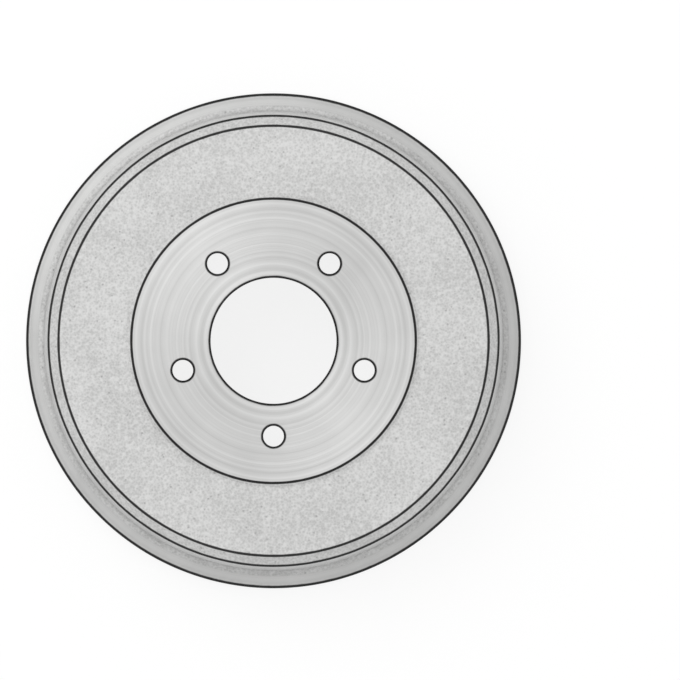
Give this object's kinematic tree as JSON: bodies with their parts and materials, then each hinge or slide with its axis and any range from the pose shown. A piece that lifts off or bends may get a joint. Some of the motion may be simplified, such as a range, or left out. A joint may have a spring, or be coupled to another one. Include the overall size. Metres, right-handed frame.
{
  "type": "brake drum",
  "caption": "Cast-iron brake drum: a shallow cup with a machined braking surface inside, a grooved open rim, and a flat hub face with a pilot bore and stud holes.",
  "frame": {"origin": "centre of the open rim's plane, on the drum's axis", "axes": "+Z along the drum's axis from the open rim towards the wheel; one stud hole lies towards -Y; the section in the drawing is the YZ plane"},
  "size_m": [0.2964, 0.2964, 0.07],
  "materials": {
    "grey_iron": "bare grey iron, fine-turned on the rim, braking surface, hub recess and wheel pad, as cast elsewhere"
  },
  "bodies": {
    "root": {"brake_drum": "grey_iron"}
  },
  "joints": []
}
